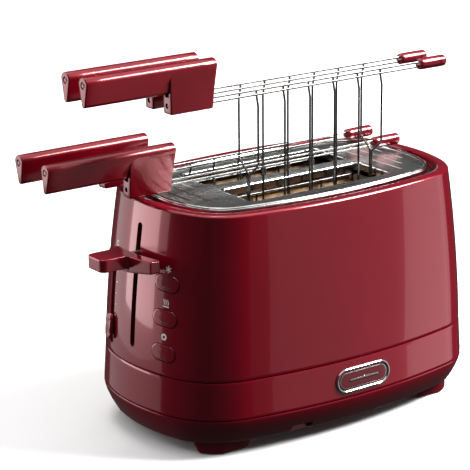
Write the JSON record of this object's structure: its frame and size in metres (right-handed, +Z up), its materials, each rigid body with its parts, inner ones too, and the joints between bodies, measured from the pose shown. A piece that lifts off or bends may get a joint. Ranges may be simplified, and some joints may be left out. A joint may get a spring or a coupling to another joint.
{
  "type": "pop up toaster",
  "caption": "Two-slot toaster with a tapered oval casing, a front lever, push buttons, a browning slider, a crumb tray and two hinged wire sandwich cages.",
  "frame": {"origin": "on the surface that the pads stand on, under the middle of the casing", "axes": "+X along the slots away from the controls, +Y to the rear slot, +Z up"},
  "size_m": [0.3398, 0.178, 0.2826],
  "materials": {
    "red_gloss": "high gloss",
    "red_handle": "satin gloss",
    "plate_steel": "brushed",
    "chrome_wire": "bright",
    "badge_chrome": "bright",
    "badge_red": "gloss",
    "black_plastic": "matt",
    "rubber_pad": "matt",
    "mica": "satin",
    "nichrome": "dull",
    "copper_coil": "enamelled",
    "board_green": "lacquer",
    "sheet_steel": "zinc plated"
  },
  "bodies": {
    "toaster": {"badge_frame": "badge_chrome", "badge_plate": "badge_red", "base_screws": "sheet_steel", "base_tray": "red_gloss", "chassis_plate_control": "sheet_steel", "chassis_plate_far": "sheet_steel", "control_board": "board_green", "cord_gland": "black_plastic", "electromagnet": "copper_coil", "element_board_front_inner": "mica", "element_board_front_outer": "mica", "element_board_rear_inner": "mica", "element_board_rear_outer": "mica", "element_windings_front": "nichrome", "element_windings_rear": "nichrome", "foot_pads": "rubber_pad", "guard_wires_front": "chrome_wire", "guard_wires_rear": "chrome_wire", "guide_rods": "sheet_steel", "outer_shell": "red_gloss", "reflector_front": "sheet_steel", "reflector_rear": "sheet_steel", "return_spring": "sheet_steel", "rod_bracket": "sheet_steel", "skirt_band": "red_gloss", "slider_track": "black_plastic", "switch_group": "black_plastic", "terminal_block": "black_plastic", "top_collar": "black_plastic", "top_plate": "plate_steel"},
    "carriage": {"carriage_bracket": "sheet_steel", "lifter_front": "sheet_steel", "lifter_rear": "sheet_steel", "keeper_plate": "sheet_steel", "lever_arm": "sheet_steel", "lever_knob": "red_gloss"},
    "defrost": {"defrost_button": "red_gloss"},
    "reheat": {"reheat_button": "red_gloss"},
    "bagel": {"bagel_button": "red_gloss"},
    "browning": {"browning_knob": "red_gloss"},
    "tray": {"crumb_tray": "red_gloss"},
    "front_pivot": {"front_cage_pins": "chrome_wire"},
    "front_near": {"front_cage_handle_near": "red_handle", "front_cage_grid_near": "chrome_wire", "front_cage_cap_near": "red_handle", "front_cage_screw_near": "sheet_steel"},
    "front_far": {"front_cage_handle_far": "red_handle", "front_cage_grid_far": "chrome_wire", "front_cage_cap_far": "red_handle", "front_cage_screw_far": "sheet_steel"},
    "rear_pivot": {"rear_cage_pins": "chrome_wire"},
    "rear_near": {"rear_cage_handle_near": "red_handle", "rear_cage_grid_near": "chrome_wire", "rear_cage_cap_near": "red_handle", "rear_cage_screw_near": "sheet_steel"},
    "rear_far": {"rear_cage_handle_far": "red_handle", "rear_cage_grid_far": "chrome_wire", "rear_cage_cap_far": "red_handle", "rear_cage_screw_far": "sheet_steel"}
  },
  "joints": [
    {"name": "carriage_slide", "type": "slide", "parent": "toaster", "child": "carriage", "axis": [0, 0, 1], "range_m": [-0.062, 0.02], "stiffness_N_per_m": 40, "springref_m": 0.0385, "deforming": ["return_spring"]},
    {"name": "defrost_press", "type": "slide", "parent": "toaster", "child": "defrost", "axis": [0.9656, 0.2457, -0.0849], "range_m": [0, 0.0018], "stiffness_N_per_m": 500, "springref_m": -0.0006},
    {"name": "reheat_press", "type": "slide", "parent": "toaster", "child": "reheat", "axis": [0.9656, 0.2457, -0.0849], "range_m": [0, 0.0018], "stiffness_N_per_m": 500, "springref_m": -0.0006},
    {"name": "bagel_press", "type": "slide", "parent": "toaster", "child": "bagel", "axis": [0.9656, 0.2457, -0.0849], "range_m": [0, 0.0018], "stiffness_N_per_m": 500, "springref_m": -0.0006},
    {"name": "browning_slide", "type": "slide", "parent": "toaster", "child": "browning", "axis": [0.0855, 0, 0.9963], "range_m": [0, 0.042]},
    {"name": "crumb_tray_slide", "type": "slide", "parent": "toaster", "child": "tray", "axis": [1, 0, 0], "range_m": [0, 0.15]},
    {"name": "front_cage_lift", "type": "slide", "parent": "toaster", "child": "front_pivot", "axis": [0, 0, 1], "range_m": [-0.068, 0.06]},
    {"name": "front_near_jaw", "type": "hinge", "parent": "front_pivot", "child": "front_near", "pos_m": [0.004, -0.0261, 0.1526], "axis": [1, 0, 0], "range_deg": [-2, 3]},
    {"name": "front_far_jaw", "type": "hinge", "parent": "front_pivot", "child": "front_far", "pos_m": [0.004, -0.0261, 0.1526], "axis": [1, 0, 0], "range_deg": [-3, 2]},
    {"name": "rear_cage_lift", "type": "slide", "parent": "toaster", "child": "rear_pivot", "axis": [0, 0, 1], "range_m": [0, 0.13]},
    {"name": "rear_near_jaw", "type": "hinge", "parent": "rear_pivot", "child": "rear_near", "pos_m": [0, 0.0261, 0.0846], "axis": [1, 0, 0], "range_deg": [-5, 0]},
    {"name": "rear_far_jaw", "type": "hinge", "parent": "rear_pivot", "child": "rear_far", "pos_m": [0, 0.0261, 0.0846], "axis": [1, 0, 0], "range_deg": [0, 5]}
  ],
  "couplings": [
    {"joint": "front_far_jaw", "follows": "front_near_jaw", "ratio": -1},
    {"joint": "rear_far_jaw", "follows": "rear_near_jaw", "ratio": -1}
  ]
}
